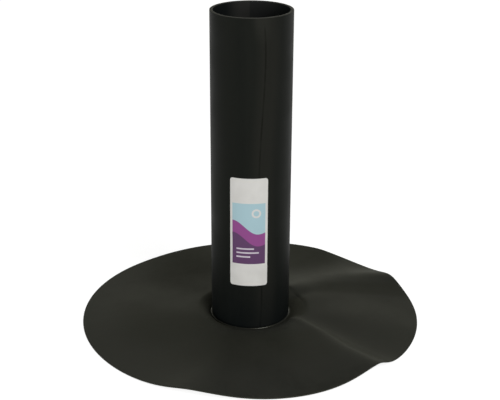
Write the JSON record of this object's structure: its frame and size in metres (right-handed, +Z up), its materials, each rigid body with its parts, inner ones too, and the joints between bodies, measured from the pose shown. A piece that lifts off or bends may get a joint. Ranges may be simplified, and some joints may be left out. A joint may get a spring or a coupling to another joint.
{
  "type": "roof drain outlet",
  "caption": "Straight black drain pipe bonded upright to a round, gently folded rubber membrane flange, with a printed label; drains a flat roof.",
  "frame": {"origin": "on the pipe's axis, at the underside of the flange, where the outlet stands on the floor", "axes": "+Z up along the pipe, from the flange to the pipe's open end; -Y is the front, where the label is; +X is to the right of it"},
  "size_m": [0.3247, 0.3247, 0.3],
  "materials": {
    "pipe": "satin black polyethylene",
    "membrane": "matt dark grey rubber sheet",
    "label": "coated paper with printed bands"
  },
  "bodies": {
    "root": {"outlet_pipe": "pipe", "membrane_flange": "membrane", "product_label": "label"}
  },
  "joints": []
}
